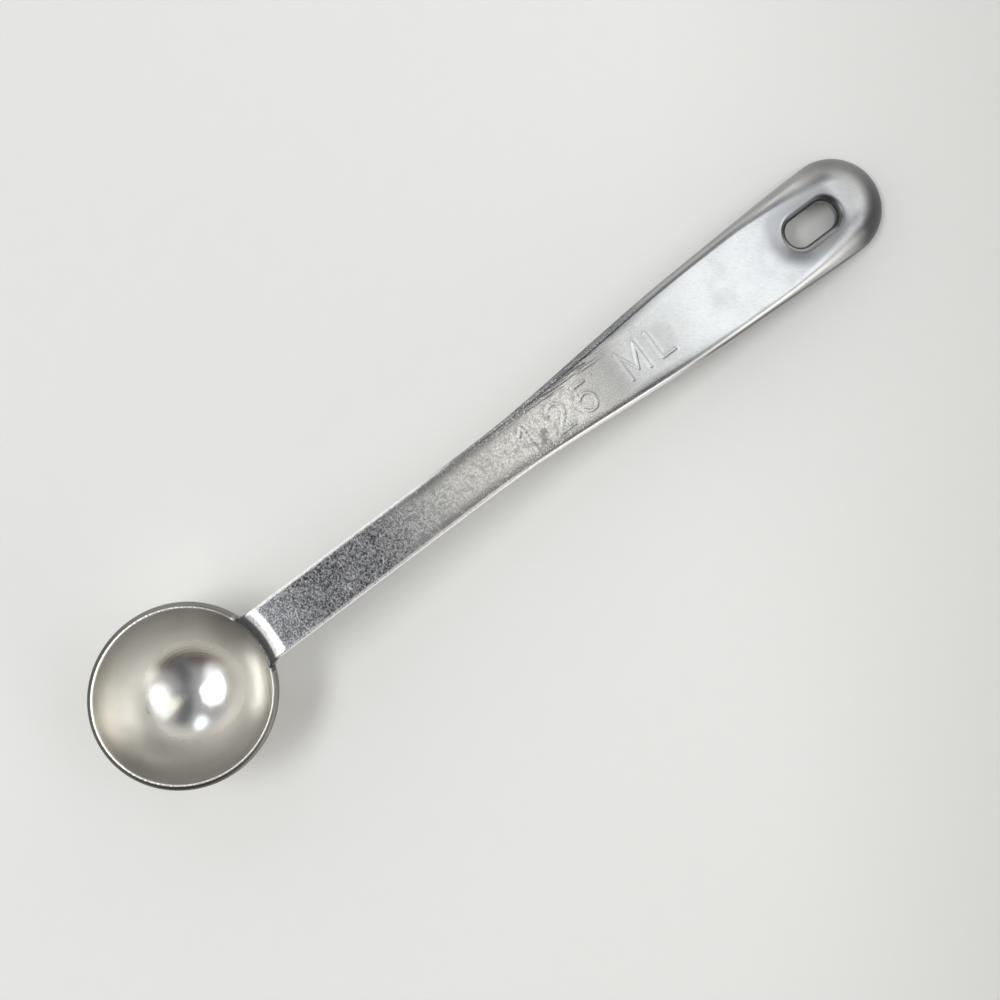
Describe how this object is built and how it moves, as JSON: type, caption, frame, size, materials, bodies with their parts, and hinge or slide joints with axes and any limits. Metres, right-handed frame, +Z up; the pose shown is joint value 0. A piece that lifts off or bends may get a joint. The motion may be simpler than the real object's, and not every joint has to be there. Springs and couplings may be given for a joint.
{
  "type": "measuring spoon",
  "caption": "Small pressed steel measuring spoon: deep oval bowl, narrow handle bent out over the rim, flanged grip with a domed end and a hanging slot.",
  "frame": {"origin": "on the table, under the middle of the resting spoon's bounding box", "axes": "+X along the handle from the bowl to the slotted end, +Y across it, +Z up. The spoon lies as it rests on a table, on the bowl's floor and the handle's tip, with the rim 6.1 degrees off level"},
  "size_m": [0.0906, 0.017, 0.0103],
  "materials": {
    "steel": "satin stainless steel, brushed inside the bowl and fine-scratched along the handle"
  },
  "bodies": {
    "root": {"bowl": "steel", "handle": "steel"}
  },
  "joints": []
}
